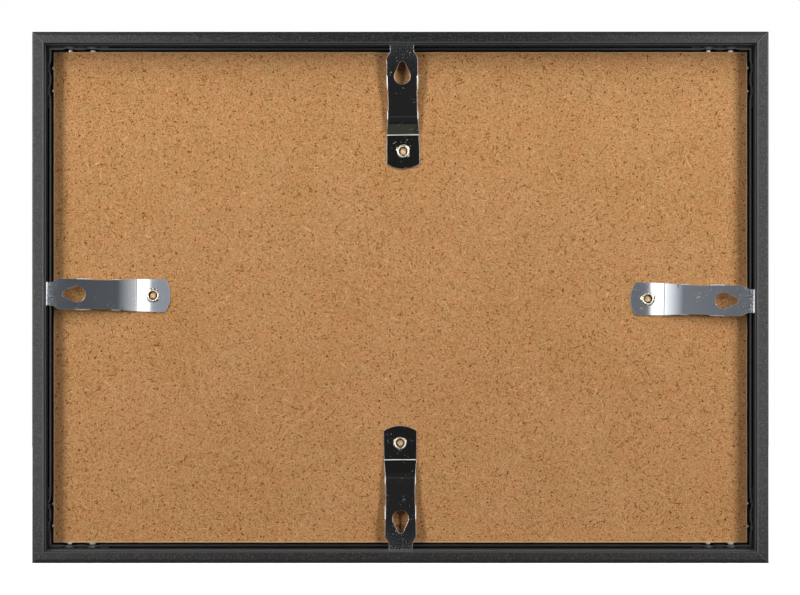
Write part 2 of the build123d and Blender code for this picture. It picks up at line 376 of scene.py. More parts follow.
# pressed board: dashes are length, width, turns and cut, specks are spacing, turn, radius and strength
hardboard = {
    "dark": (0.25, 0.088, 0.004, 1), "warm": (0.565, 0.262, 0.096, 1), "green": (0.525, 0.27, 0.094, 1),
    "light": (0.79, 0.475, 0.25, 1), "bark": (0.165, 0.055, 0.0005, 1), "fibre": (0.82, 0.5, 0.25, 1),
    "cutEdge": (0.72, 0.46, 0.26, 1), "edgeWidth": 0.5,
    "fleck": 0.3, "fleckTone": 0.5, "pit": 0.85, "pitTone": (-0.03, 0.12),
    "speckle": 1.3, "speckleTone": (0.16, 0.28), "cloud": 0.045, "cloudTone": (-0.04, 0.04), "drift": 0.16,
    "bend": 6.0, "bendScale": 0.12,
    "pale": (8.0, 0.45, (0.3, 1.1, 2.0, 2.8), 0.765), "paleShare": 0.6,
    "slivers": (3.2, 0.46, (0.1, 0.9, 1.7, 2.5), 0.755), "sliverShare": 0.9,
    "specks": ((4.6, 0.0, 0.42, 1.0), (2.9, 1.0, 0.32, 0.95), (2.0, 2.0, 0.24, 0.85)), "speckSoft": 0.1,
}


def barkSpecks(tree, place, soft, spacing, turn, radius, strength):
    # soft round dots in some of the cells, larger where the cell's chance is higher
    turned = addNode(tree, "ShaderNodeMapping", {"Vector": place, "Rotation": (0, 0, turn)}).outputs[0]
    cell = flatCells(tree, turned, spacing)
    chance = axisParts(tree, cell["Color"])[0]
    reach = times(tree, rangeNode(tree, chance, 0.4, 1.0, 0.4, 1.0), radius / spacing)
    past = minus(tree, cell["Distance"], reach)
    dot = rangeNode(tree, past, -soft / spacing, soft / spacing, strength, 0.0)
    return times(tree, dot, rangeNode(tree, chance, 0.4, 0.7))


def bentPlace(tree, place, scale, reach):
    noise = addNode(tree, "ShaderNodeTexNoise", {"Vector": place, "Scale": scale, "Detail": 1.0})
    bend = addNode(tree, "ShaderNodeVectorMath", {0: noise.outputs["Color"], 3: reach}, operation="SCALE")
    return addNode(tree, "ShaderNodeVectorMath", {0: place, 1: bend.outputs[0]}, operation="ADD").outputs[0]


def makeHardboard(c):
    mat, tree, shader, place = newMaterial("hardboardFace", Specular_IOR_Level=0.1)
    speckle = noiseNode(tree, place, c["speckle"], 2.0, 0.6)
    cloud = noiseNode(tree, place, c["cloud"], 3.0, 0.55)
    pits = flatCells(tree, place, c["pit"])["Distance"]
    tone = times(tree, randomCells(tree, place, c["fleck"]), c["fleckTone"])
    tone = plus(tree, tone, rangeNode(tree, pits, 0.1, 0.7, *c["pitTone"]))
    tone = plus(tree, tone, rangeNode(tree, speckle, 0.2, 0.8, *c["speckleTone"]))
    tone = plus(tree, tone, rangeNode(tree, cloud, 0.3, 0.7, *c["cloudTone"]))
    drift = rangeNode(tree, noiseNode(tree, place, c["drift"]), 0.35, 0.65)
    plain = mixColour(tree, drift, c["warm"], c["green"])
    colour = mixColour(tree, rangeNode(tree, tone, 0.0, 0.5), c["dark"], plain)
    colour = mixColour(tree, rangeNode(tree, tone, 0.5, 1.0), colour, c["light"])
    # a few pale curved fibres, then slivers and round specks of bark
    curved = bentPlace(tree, place, c["bendScale"], c["bend"])
    pale = times(tree, dashLines(tree, curved, *c["pale"]), c["paleShare"])
    colour = mixColour(tree, pale, colour, c["fibre"])
    slivers = times(tree, dashLines(tree, curved, *c["slivers"]), c["sliverShare"])
    colour = mixColour(tree, slivers, colour, c["bark"])
    for speck in c["specks"]:
        colour = mixColour(tree, barkSpecks(tree, place, c["speckSoft"], *speck), colour, c["bark"])
    # sawn edge, paler than the pressed face
    x, z, _ = axisParts(tree, place)
    insetX = insetFrom(tree, x, boardLow.x, boardHigh.x)
    insetZ = insetFrom(tree, z, boardLow.z, boardHigh.z)
    frayed = rangeNode(tree, smaller(tree, insetX, insetZ), c["edgeWidth"] * 0.6, c["edgeWidth"], 1.0, 0.0)
    frayed = times(tree, frayed, rangeNode(tree, speckle, 0.3, 0.5, 0.5, 1.0))
    tree.links.new(mixColour(tree, frayed, colour, c["cutEdge"]), shader.inputs["Base Color"])
    tree.links.new(rangeNode(tree, speckle, 0.3, 0.7, 0.62, 0.8), shader.inputs["Roughness"])
    tree.links.new(bumpNode(tree, speckle, 0.25, 0.05 * mm), shader.inputs["Normal"])
    return mat


tornCore = {"low": (0.62, 0.36, 0.15, 1), "high": (1.0, 0.68, 0.36, 1), "tuft": 1.1}  # inside of the board


def makeTornCore(c):
    mat, tree, shader, place = newMaterial("hardboardCore", Specular_IOR_Level=0.1, Roughness=0.8)
    tuft = noiseNode(tree, place, c["tuft"], 2.0, 0.6)
    colour = mixColour(tree, rangeNode(tree, tuft, 0.3, 0.6), c["low"], c["high"])
    tree.links.new(colour, shader.inputs["Base Color"])
    tree.links.new(bumpNode(tree, tuft, 0.4, 0.1 * mm), shader.inputs["Normal"])
    return mat


# plated clips: places are mm from the rivet along the flat blank
clipSteel = {
    "tone": (0.56, 0.575, 0.60, 1), "worn": (0.75, 0.75, 0.74, 1), "cut": (0.33, 0.33, 0.335, 1),
    # painted highlight for the crease on the top and bottom clips, then painted shade for it on the side
    # clips
    "creased": (0.95, 0.93, 0.87, 1), "creasedSide": (0.06, 0.05, 0.03, 1),
    # painted glint for the squeezed edge strips, partly bare metal
    "squeezed": (0.68, 0.665, 0.63, 1), "squeezedBare": 0.5,
    "rough": (0.03, 0.037), "scratchCut": 0.775, "scratchRough": 0.4, "rimRough": 0.45,
    "creaseAt": 7.12, "creaseWidth": 0.2, "creaseShare": 0.8, "creaseRough": 0.6,
    "haze": 0.11, "hazeFrom": (31.0, 44.0), "hazeGrain": 1.5,
}


def makeClipSteel(c):
    mat, tree, shader, place = newMaterial("platedSpringSteel")
    flat = addNode(tree, "ShaderNodeAttribute", attribute_name="flatPlace").outputs["Vector"]
    _, along, edge = axisParts(tree, flat)  # edge is 0 on the faces, 1 on the rim, 2 where squeezed
    x, z, _ = axisParts(tree, place)
    lines = useGroup(tree, scratches, place, Cut=c["scratchCut"])["Mask"]
    colour = mixColour(tree, lines, c["tone"], c["worn"])
    # painted highlight along the crease on the top and bottom clips and painted shade along it on the side
    # clips, chosen by which way the clip lies from the middle
    width, share = c["creaseWidth"], c["creaseShare"]
    crease = rangeNode(tree, awayFrom(tree, along, c["creaseAt"]), width * 0.6, width, share, 0.0)
    offX, offZ = awayFrom(tree, x, middle.x / mm), awayFrom(tree, z, middle.z / mm)
    creaseHighlightAndShade = mixColour(tree, mathNode(tree, "GREATER_THAN", offX, offZ), c["creased"], c["creasedSide"])
    colour = mixColour(tree, crease, colour, creaseHighlightAndShade)
    colour = mixColour(tree, rangeNode(tree, edge, 0.02, 0.3), colour, c["cut"])
    # squeezed edge strips: bare metal, and a painted glint, pale and half non-metallic so it shows light
    # whichever way the edge faces
    coin = rangeNode(tree, edge, 1.2, 1.9)
    colour = mixColour(tree, coin, colour, c["squeezed"])
    tree.links.new(colour, shader.inputs["Base Color"])
    # the crease and the squeezed strips lose some or all of their metal, so their painted colours show
    paintedAndBare = larger(tree, crease, times(tree, coin, c["squeezedBare"]))
    tree.links.new(minus(tree, 1.0, paintedAndBare), shader.inputs["Metallic"])
    rough = rangeNode(tree, noiseNode(tree, flat, 0.4), 0.3, 0.7, *c["rough"])
    rough = plus(tree, rough, times(tree, lines, c["scratchRough"]))
    # the tongue is rubbed dull under the lip
    rubs = rangeNode(tree, noiseNode(tree, flat, c["hazeGrain"]), 0.35, 0.65)
    haze = times(tree, rangeNode(tree, along, *c["hazeFrom"]), rubs)
    rough = plus(tree, rough, times(tree, haze, c["haze"]))
    rough = larger(tree, rough, times(tree, crease, c["creaseRough"]))
    rough = larger(tree, rough, rangeNode(tree, edge, 0.02, 0.1, 0.0, c["rimRough"]))
    tree.links.new(rough, shader.inputs["Roughness"])
    return mat


# plated rivets: bands are mm from the axis
rivetMetal = {
    # the last colour is painted shade for the bore and the foot of the rolled end
    "tone": (0.6, 0.58, 0.53, 1), "brassy": (0.75, 0.56, 0.3, 1), "dirt": (0.05, 0.042, 0.035, 1),
    "crest": (1.98, 2.46, 0.08), "tornFrom": (2.6, 2.7), "patch": 0.9, "patchFrom": (0.46, 0.54),
    "scratchCut": 0.74, "rough": (0.28, 0.45),
}


def makeRivetMetal(c):
    mat, tree, shader, place = newMaterial("rivetPlate", Metallic=1.0)
    patch = noiseNode(tree, place, c["patch"], 2.0, 0.6)
    lines = useGroup(tree, scratches, place, Cut=c["scratchCut"])["Mask"]
    fromAxis = addNode(tree, "ShaderNodeAttribute", attribute_name="fromAxis").outputs["Fac"]
    # plated tone on the crest of the rolled end; painted shade darkens the bore and the foot, torn to bare
    # brass in patches at its foot
    torn = times(tree, rangeNode(tree, patch, *c["patchFrom"]), rangeNode(tree, fromAxis, *c["tornFrom"]))
    colour = mixColour(tree, torn, c["dirt"], c["brassy"])
    colour = mixColour(tree, bandMask(tree, fromAxis, *c["crest"]), colour, c["tone"])
    tree.links.new(colour, shader.inputs["Base Color"])
    tree.links.new(rangeNode(tree, lines, 0.0, 1.0, *c["rough"]), shader.inputs["Roughness"])
    tree.links.new(bumpNode(tree, patch, 0.3, 0.06 * mm), shader.inputs["Normal"])
    return mat


bareMetal = {"scratchCut": 0.72, "speckle": 2.2, "dull": 0.6}
keyMetal = {"name": "darkKeyMetal", "tone": (0.05, 0.05, 0.053, 1), "rough": (0.5, 0.65), **bareMetal}
punchMetal = {"name": "punchedAluminium", "tone": (0.88, 0.88, 0.87, 1), "rough": (0.4, 0.6), **bareMetal}


def makeBareMetal(c):
    mat, tree, shader, place = newMaterial(c["name"], Metallic=1.0)
    lines = useGroup(tree, scratches, place, Cut=c["scratchCut"])["Mask"]
    speck = useGroup(tree, grain, place, Scale=c["speckle"])["Grain"]
    dull = tuple(v * c["dull"] for v in c["tone"][:3]) + (1,)
    tree.links.new(mixColour(tree, speck, c["tone"], dull), shader.inputs["Base Color"])
    tree.links.new(rangeNode(tree, lines, 0.0, 1.0, *c["rough"]), shader.inputs["Roughness"])
    tree.links.new(bumpNode(tree, speck, 0.4, 0.08 * mm), shader.inputs["Normal"])
    return mat


insertPaper = {
    "tone": (0.84, 0.83, 0.80, 1), "fibre": (0.76, 0.75, 0.72, 1), "speckle": 1.4, "rough": (0.8, 0.92),
}


def makePaper(c):
    mat, tree, shader, place = newMaterial("plainInsertPaper")
    speck = useGroup(tree, grain, place, Scale=c["speckle"])
    fibres = rangeNode(tree, speck["Grain"], 0.35, 0.65)
    fibres = times(tree, fibres, rangeNode(tree, speck["Drift"], 0.3, 0.7, 0.5, 1.0))
    tree.links.new(mixColour(tree, fibres, c["tone"], c["fibre"]), shader.inputs["Base Color"])
    tree.links.new(rangeNode(tree, speck["Drift"], 0.3, 0.7, *c["rough"]), shader.inputs["Roughness"])
    tree.links.new(bumpNode(tree, speck["Grain"], 0.12, 0.03 * mm), shader.inputs["Normal"])
    return mat


floatGlass = {"tint": (0.972, 0.985, 0.979, 1), "smear": 0.02, "rough": (0.0, 0.035)}


def makeGlass(c):
    mat, tree, shader, place = newMaterial("floatGlass", IOR=1.5, Transmission_Weight=1.0)
    shader.inputs["Base Color"].default_value = c["tint"]
    smear = noiseNode(tree, place, c["smear"], 3.0, 0.6)
    tree.links.new(rangeNode(tree, smear, 0.4, 0.75, *c["rough"]), shader.inputs["Roughness"])
    shadow = addNode(tree, "ShaderNodeLightPath").outputs["Is Shadow Ray"]  # light goes straight through
    clear = addNode(tree, "ShaderNodeBsdfTransparent", {"Color": c["tint"]}).outputs[0]
    mix = addNode(tree, "ShaderNodeMixShader", {0: shadow, 1: shader.outputs[0], 2: clear})
    tree.links.new(mix.outputs[0], tree.nodes["Material Output"].inputs["Surface"])
    return mat


clipMat = makeClipSteel(clipSteel)
rivetMat = makeRivetMetal(rivetMetal)
coreMat = makeTornCore(tornCore)
punchMat = makeBareMetal(punchMetal)
cadLooks = {
    "rail_": makeRailCoat(railCoat), "corner_key": makeBareMetal(keyMetal),
    "back_board": makeHardboard(hardboard), "insert_sheet": makePaper(insertPaper),
    "glass_pane": makeGlass(floatGlass),
}
for name, node in frame["nodes"].items():
    for start, mat in cadLooks.items():
        if name.startswith(start):
            dress(node, mat)
print("materials made and CAD pieces dressed")


# spring clips, sizes in mm from the rivet towards the rail
clipForm = {
    "thickness": 0.5, "lift": 0.05,
    "padHalf": 7.1, "padEnd": 7.4, "padEndRadius": 12.6,
    "crease": 7.0, "creaseHalf": 6.95, "creaseRadius": 0.8, "creaseAngle": 18.0,
    "bowRadius": 35.0, "crownRadius": 85.0,
    "armStart": 13.6, "armHalf": 6.5, "armEnd": 39.6, "armEndHalf": 6.65,
    "waistStart": 17.3, "waistEnd": 26.4, "waistHalf": 6.25, "waistRun": 0.3,
    "neck": 42.5, "tongueHalf": 5.05, "soften": 0.35,
    "tongueBend": 44.4, "tongueSlope": 4.5, "tongueAngle": 1.0, "tongueRadius": 20.0,
    "tongueTip": 46.5, "tongueTop": 4.708,
    "holeRadius": 2.3, "dropRound": (32.0, 3.45), "dropTip": (36.85, 1.4),
    "coined": ((13.8, 17.3), (26.4, 32.3)), "coinFrom": 6.3, "coinFall": 0.75, "coinSpread": 0.9,
    "edgeBreak": 0.09, "beside": 0.06, "weld": 0.002, "cutGap": 0.0005, "smooth": 8,
    "turns": {"bottom": 0.25, "right": 88.72, "top": 180.7, "left": 269.0},
}


def clipOutline(c):
    half = math.degrees(math.asin(c["padHalf"] / c["padEndRadius"]))
    padEnd = (0, c["padEnd"] - c["padEndRadius"])
    outline = arcPoints(padEnd, c["padEndRadius"], 90 + half, 90 - half, 24)
    arm, waist, armEnd, tongue = c["armHalf"], c["waistHalf"], c["armEndHalf"], c["tongueHalf"]
    soft = c["soften"]
    edge = [
        (c["creaseHalf"], c["crease"]), (arm, c["armStart"]), (arm, c["waistStart"]),
        (waist, c["waistStart"] + c["waistRun"]), (waist, c["waistEnd"] - c["waistRun"]),
        (arm, c["waistEnd"]), (armEnd, c["armEnd"] - soft), (armEnd - 0.03, c["armEnd"] - soft * 0.3),
        (armEnd - soft * 0.35, c["armEnd"] + soft * 0.5), (tongue + soft * 0.3, c["neck"] - soft * 0.6),
        (tongue + 0.03, c["neck"] + soft * 0.3), (tongue, c["neck"] + soft), (tongue, c["tongueTip"]),
    ]
    return outline + [(x, -t) for x, t in edge] + [(-x, -t) for x, t in reversed(edge)]


def dropOutline(c):
    roundAt, roundRadius = c["dropRound"]
    tipAt, tipRadius = c["dropTip"]
    lean = math.degrees(math.asin((roundRadius - tipRadius) / (tipAt - roundAt)))
    drop = arcPoints((0, -roundAt), roundRadius, -lean, 180 + lean, 44)
    return drop + arcPoints((0, -tipAt), tipRadius, 180 + lean, 360 - lean, 16)


def clipBlank(c):
    # the flat punched blank: outline, rivet hole and teardrop as one flat curve with broken edges
    hole = arcPoints((0, 0), c["holeRadius"], 0, 354, 59)
    flat = bpy.data.curves.new("clipBlank", "CURVE")
    flat.dimensions = "2D"
    flat.fill_mode = "BOTH"
    flat.extrude = (c["thickness"] / 2 - c["edgeBreak"]) * mm
    flat.bevel_depth = c["edgeBreak"] * mm
    flat.bevel_resolution = 1
    flat.offset = -c["edgeBreak"] * mm
    for loop in (clipOutline(c), dropOutline(c), hole):
        spline = flat.splines.new("POLY")
        spline.points.add(len(loop) - 1)
        spline.use_cyclic_u = True
        for point, (x, y) in zip(spline.points, loop):
            point.co = (x * mm, y * mm, 0, 1)
    obj = bpy.data.objects.new("clipBlank", flat)
    bpy.context.collection.objects.link(obj)
    makeActive(obj)
    bpy.ops.object.convert(target="MESH")
    return bpy.context.object


def clipLevels(c):
    # middle line of the bent strip, as arcs and straights from the pad outward
    lift, rise, dip = (math.radians(c[key]) for key in ("creaseAngle", "tongueSlope", "tongueAngle"))
    half = c["thickness"] / 2
    bow, crown, bend = c["bowRadius"], c["crownRadius"], c["tongueRadius"]
    padLevel = c["lift"] + half
    bowAt = c["crease"] + c["creaseRadius"] * math.sin(lift)
    bowLevel = padLevel + c["creaseRadius"] * (1 - math.cos(lift))
    bowX, bowZ = bowAt + bow * math.sin(lift), bowLevel - bow * math.cos(lift)
    topLevel = c["tongueTop"] - half
    neckLevel = topLevel - (c["tongueBend"] - c["neck"]) * math.tan(rise)
    crownX, crownZ = c["neck"] + crown * math.sin(rise), neckLevel - crown * math.cos(rise)
    slope = math.atan2(crownZ - bowZ, crownX - bowX)
    slope += math.asin((crown - bow) / math.hypot(crownX - bowX, crownZ - bowZ))
    armFrom, armTo = bowX - bow * math.sin(slope), crownX - crown * math.sin(slope)
    armLevel = bowZ + bow * math.cos(slope)
    bendX, bendZ = c["tongueBend"] + bend * math.sin(rise), topLevel - bend * math.cos(rise)
    tipFrom, tipLevel = bendX + bend * math.sin(dip), bendZ + bend * math.cos(dip)

    def level(t):
        if t <= c["crease"]:
            return padLevel
        if t <= bowAt:
            return padLevel + c["creaseRadius"] - math.sqrt(c["creaseRadius"] ** 2 - (t - c["crease"]) ** 2)
        if t <= armFrom:
            return bowZ + math.sqrt(bow ** 2 - (t - bowX) ** 2)
        if t <= armTo:
            return armLevel + (t - armFrom) * math.tan(slope)
        if t <= c["neck"]:
            return crownZ + math.sqrt(crown ** 2 - (t - crownX) ** 2)
        if t <= c["tongueBend"]:
            return neckLevel + (t - c["neck"]) * math.tan(rise)
        if t <= tipFrom:
            return bendZ + math.sqrt(bend ** 2 - (t - bendX) ** 2)
        return tipLevel - (t - tipFrom) * math.tan(dip)

    return level


def clipStations(c):
    # where the blank gets cross lines, close together where it bends: first line, spacing, how many
    runs = [
        (c["crease"] - c["beside"], 1.0, 1), (c["crease"], 0.05, 6), (c["crease"] + 0.3, 0.3, 27),
        (15.8, 1.0, 26), (41.5, 0.2, 6), (42.6, 1.0, 1), (c["tongueBend"], 0.15, 13),
    ]
    stations = [first + i * spacing for first, spacing, count in runs for i in range(count)]
    for start, end in c["coined"]:
        stations += [start - c["beside"], start, end, end + c["beside"]]
    return sorted(stations)


def cutAcross(c, place, facing):
    bpy.ops.mesh.select_all(action="SELECT")
    bpy.ops.mesh.bisect(plane_co=place, plane_no=facing, threshold=c["cutGap"] * mm)


def makeClip(c):
    obj = clipBlank(c)
    editAll(obj)
    bpy.ops.mesh.remove_doubles(threshold=c["weld"] * mm)
    for t in clipStations(c):
        cutAcross(c, (0, -t * mm, 0), (0, 1, 0))
    for hand in (-1, 1):
        cutAcross(c, (hand * c["coinFrom"] * mm, 0, 0), (1, 0, 0))
    bpy.ops.mesh.select_all(action="SELECT")
    bpy.ops.mesh.remove_doubles(threshold=c["weld"] * mm)
    bpy.ops.mesh.normals_make_consistent(inside=False)
    objectMode()
    level = clipLevels(c)
    flat = obj.data.attributes.new("flatPlace", "FLOAT_VECTOR", "POINT")
    for v, spot in zip(obj.data.vertices, flat.data):
        rim = 1 if abs(v.co.z) / mm < c["thickness"] / 2 - 0.01 else 0
        spot.vector = (v.co.x / mm, -v.co.y / mm, rim)  # place on the blank, and whether on its cut edge
        v.co.z += level(-v.co.y / mm) * mm
    for v, spot in zip(obj.data.vertices, flat.data):  # edges squeezed thin and outward beside the waist
        t, past = -v.co.y / mm, abs(v.co.x) / mm - c["coinFrom"]
        if past > 0.05 and any(start - 0.03 < t < end + 0.03 for start, end in c["coined"]):
            if v.co.z > level(t) * mm:
                v.co.z -= c["coinFall"] * past * mm
            v.co.x += math.copysign(c["coinSpread"] * past * mm, v.co.x)
            spot.vector[2] = 2
    smoothBelow(obj, c["smooth"])
    return obj


clipMaster = makeClip(clipForm)
dress(clipMaster, clipMat)
for side in sides:
    clip = copyOf(clipMaster, f"swivel_clip_{side}")
    standUp(clip, clipForm["turns"][side], rivetAt[side])
    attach(clip, f"clip_{side}")
    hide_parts(f"spring_clip_{side}")
bpy.data.objects.remove(clipMaster)
print("spring clips made")


# tubular rivets and the plugs of board inside them, heights in mm above the back of the board
rivetForm = {
    "headLow": -3.0, "headTop": -2.5, "headRadius": 3.6, "headEdge": 0.1, "barrel": 2.25, "bore": 1.73,
    "crest": (2.2, 1.36), "flare": 0.9, "foot": (2.85, 0.78), "footLow": 0.64, "footEdge": 0.1,
    "steps": 84, "smooth": 40, "rolledFrom": 0.62,
    "splits": 9, "splitWidth": 0.3, "splitDepth": 0.12, "splitRise": 0.5,
    "lean": (0.3, 1.0), "petals": (-0.3, 0.5), "petalFrom": 2.62,
}
plugForm = {
    "low": -2.45, "radius": 1.66, "shoulder": -1.3, "edge": 0.1,
    "torn": 1.62, "top": 0.47, "topEdge": (0.2, 0.15), "ragged": 0.04, "tears": 7, "steps": 40, "smooth": 45,
}


def makeRivet(r):
    (crestX, crestZ), (footX, footZ) = r["crest"], r["foot"]
    curl = arcPoints((crestX, footZ), (footX - crestX, crestZ - footZ), 0, 90, 10)
    curl += arcPoints((crestX, r["flare"]), (crestX - r["bore"], crestZ - r["flare"]), 90, 180, 8)[1:]
    profile = [
        (0, r["headLow"]), (r["headRadius"] - r["headEdge"], r["headLow"]),
        (r["headRadius"], r["headLow"] + r["headEdge"]), (r["headRadius"], r["headTop"]),
        (r["barrel"], r["headTop"]), (r["barrel"], r["footLow"]), (footX - r["footEdge"], r["footLow"]),
    ]
    profile += curl + [(r["bore"], r["headTop"]), (0, r["headTop"])]
    obj = latheShape("rivetMaster", profile, r["steps"])
    spread = obj.data.attributes.new("fromAxis", "FLOAT", "POINT")
    for v, spot in zip(obj.data.vertices, spread.data):
        spot.value = math.hypot(v.co.x, v.co.y) / mm if v.co.z > r["rolledFrom"] * mm else 0.0
    smoothBelow(obj, r["smooth"])
    return obj


def splitRolledEnd(obj, r, dice):
    # the rolled end is split all round, and its foot spreads in uneven petals
    lean = [dice.uniform(*r["lean"]) for _ in range(r["splits"])]
    spread = [dice.uniform(*r["petals"]) for _ in range(r["splits"])]
    for v in obj.data.vertices:
        high = (v.co.z / mm - r["rolledFrom"]) / r["splitRise"]
        if high > 0:
            turn = math.atan2(v.co.y, v.co.x) / (2 * math.pi) % 1.0 * r["splits"]
            near = max(0.0, abs(turn % 1.0 - 0.5) * 2 - (1 - r["splitWidth"])) / r["splitWidth"]
            petal = int(turn) % r["splits"]
            v.co.z -= r["splitDepth"] * lean[petal] * near * min(high, 1.0) * mm
            radius = math.hypot(v.co.x, v.co.y) / mm
            if radius > r["petalFrom"]:
                share = (radius - r["petalFrom"]) / (r["foot"][0] - r["petalFrom"])
                grow = 1 + spread[petal] * (1 - near) * share / radius
                v.co.x *= grow
                v.co.y *= grow


def makePlug(p):
    side, rounding = p["topEdge"]
    profile = [
        (0, p["low"]), (p["radius"] - p["edge"], p["low"]), (p["radius"], p["low"] + p["edge"]),
        (p["radius"], p["shoulder"] - p["edge"]), (p["torn"], p["shoulder"]),
        (p["torn"], p["top"] - rounding), (p["torn"] - side, p["top"]), (0, p["top"]),
    ]
    obj = latheShape("plugMaster", profile, p["steps"])
    for v in obj.data.vertices:  # torn to a ragged lozenge above the shoulder
        if v.co.z > (p["shoulder"] - p["edge"] / 2) * mm:
            turn = math.atan2(v.co.y, v.co.x)
            lozenge = 0.5 + 0.5 / (abs(math.cos(turn)) + abs(math.sin(turn)))
            shrink = lozenge - p["ragged"] * math.sin(p["tears"] * turn)
            v.co.x *= shrink
            v.co.y *= shrink
    smoothBelow(obj, p["smooth"])
    return obj


rivetMaster, plugMaster = makeRivet(rivetForm), makePlug(plugForm)
dress(rivetMaster, rivetMat)
dress(plugMaster, coreMat)
for number, side in enumerate(sides):
    dice = random.Random(40 + number)
    rivet = copyOf(rivetMaster, f"tube_rivet_{side}")
    splitRolledEnd(rivet, rivetForm, dice)
    plug = copyOf(plugMaster, f"hardboard_plug_{side}")
    for obj, node, slot in ((rivet, "clip_rivet", "rivet"), (plug, "board_plug", "hardboard")):
        standUp(obj, dice.uniform(0, 360), rivetAt[side])
        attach(obj, "frame")
        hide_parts(f"{node}_{side}")
bpy.data.objects.remove(rivetMaster)
bpy.data.objects.remove(plugMaster)
print("rivets and plugs made")


# bare half-round marks that the crimping punch left beside each dent, in mm
crimpMark = {
    "first": 14.8, "pitch": 9.6, "perEnd": 2, "inset": 7.65, "above": 9.35, "smooth": 40,
    "halfLength": 1.35, "reach": 1.3, "height": 0.5, "upright": 0.5,
    "lengthSpread": (0.75, 1.15), "reachSpread": (0.8, 1.0), "shift": (-0.2, 0.2),
    "turns": {"bottom": 0, "right": 90, "top": 180, "left": 270},
}


def makeCrimpMark(c):
    makeActive(None)
    bpy.ops.mesh.primitive_uv_sphere_add(segments=24, ring_count=12, radius=mm)
    obj = bpy.context.object
    editAll(obj)
    bpy.ops.transform.resize(value=(c["halfLength"], c["reach"], c["height"]))
    bpy.ops.mesh.bisect(
        plane_co=(0, 0, 0), plane_no=(0, 1, 0), threshold=0.001 * mm, clear_outer=True, use_fill=True)
    objectMode()
    smoothBelow(obj, c["smooth"])
    dress(obj, punchMat)
    return obj


markMaster = makeCrimpMark(crimpMark)
dice = random.Random(7)
for side in sides:
    level = side in ("top", "bottom")
    span, reach = (halfLong, halfTall) if level else (halfTall, halfLong)
    size = 1.0 if level else crimpMark["upright"]
    marks = []
    for end in (-1, 1):
        for number in range(crimpMark["perEnd"]):
            mark = copyOf(markMaster, f"crimp_mark_{side}_{len(marks)}")
            makeActive(mark)
            long, deep = dice.uniform(*crimpMark["lengthSpread"]), dice.uniform(*crimpMark["reachSpread"])
            mark.scale = (size * long, size * deep, size)
            along = end * (span - (crimpMark["first"] + number * crimpMark["pitch"]) * mm)
            along += dice.uniform(*crimpMark["shift"]) * mm
            mark.location = (along, -reach + crimpMark["inset"] * mm, 0)
            bpy.ops.object.transform_apply(location=True, rotation=True, scale=True)
            marks.append(mark)
    makeActive(marks[0])
    for mark in marks:
        mark.select_set(True)
    bpy.ops.object.join()
    joined = bpy.context.object
    joined.name = f"crimp_marks_{side}"
    standUp(joined, crimpMark["turns"][side], (middle.x, crimpMark["above"] * mm, middle.z))
    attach(joined, "frame")
bpy.data.objects.remove(markMaster)
print("crimp marks made")


# floor, camera, lamps and dark cards, in metres from the middle of the frame
stageSet = {
    "floorRadius": 0.5, "floorBack": 0.32, "floorTone": (0.7, 0.7, 0.7, 1), "floorGlow": 0.58,
    "distance": 0.94, "lens": 99.71, "shiftX": -0.17 * mm, "shiftZ": -0.08 * mm,
    "lampAt": (0.715, -0.638, 1.069), "lampAim": 0.417, "lampSize": (0.206, 2.18), "lampGlow": 12.8,
    "panelGap": 0.1645, "panelWide": 0.3, "panelTall": 0.7, "panelAway": 0.5, "panelGlow": 1.85,
    "frontAt": (-0.5, 1.3, 0.55), "frontSize": (1.2, 1.0), "frontGlow": 5.5,
    "cardHalf": 0.016, "cardAway": 0.65, "cardGap": 0.0125, "cardEnd": 0.4,
    "armGlow": (0.027, 0.027, 0.0245, 1), "padGlow": (0.02, 0.02, 0.0175, 1), "padFrom": (0.07, 0.09),
    "bowGlow": (0.07, 0.07, 0.05, 1), "bowFrom": (0.118, 0.128),
}


def makeFloor(s):
    makeActive(None)
    spot = (middle.x, s["floorBack"], frameLow.z)
    bpy.ops.mesh.primitive_circle_add(vertices=96, radius=s["floorRadius"], fill_type="NGON", location=spot)
    floor = bpy.context.object
    floor.name = "studioFloor"
    mat, tree, shader, _ = newMaterial("paleFloor", Roughness=0.8)
    shader.inputs["Base Color"].default_value = s["floorTone"]
    seen = addNode(tree, "ShaderNodeLightPath").outputs["Is Camera Ray"]
    glow = addNode(tree, "ShaderNodeEmission", {"Strength": times(tree, seen, s["floorGlow"])})
    both = addNode(tree, "ShaderNodeAddShader", {0: shader.outputs[0], 1: glow.outputs[0]})
    tree.links.new(both.outputs[0], tree.nodes["Material Output"].inputs["Surface"])
    dress(floor, mat)
    floor.visible_diffuse = False


def makeCards(s):
    # dark strips that the clips at top and bottom reflect, with a gap between them for those at the sides
    mat, tree, shader, _ = newMaterial("darkCard", Roughness=0.9, Specular_IOR_Level=0.0)
    shader.inputs["Base Color"].default_value = (0, 0, 0, 1)
    shader.inputs["Emission Strength"].default_value = 1.0
    height = axisParts(tree, addNode(tree, "ShaderNodeNewGeometry").outputs["Position"])[2]
    below = minus(tree, middle.z, height)
    away = mathNode(tree, "ABSOLUTE", below)
    glow = mixColour(tree, rangeNode(tree, away, *s["padFrom"]), s["armGlow"], s["padGlow"])
    glow = mixColour(tree, rangeNode(tree, below, *s["bowFrom"]), glow, s["bowGlow"])
    tree.links.new(glow, shader.inputs["Emission Color"])
    for hand, name in ((-1, "darkCardLow"), (1, "darkCardHigh")):
        makeActive(None)
        spot = (middle.x, -s["cardAway"], middle.z + hand * (s["cardGap"] + s["cardEnd"]) / 2)
        bpy.ops.mesh.primitive_plane_add(size=1, location=spot, rotation=(math.radians(90), 0, 0))
        card = bpy.context.object
        card.name = name
        card.scale = (2 * s["cardHalf"], s["cardEnd"] - s["cardGap"], 1)
        dress(card, mat)
        card.visible_camera = card.visible_diffuse = card.visible_shadow = False


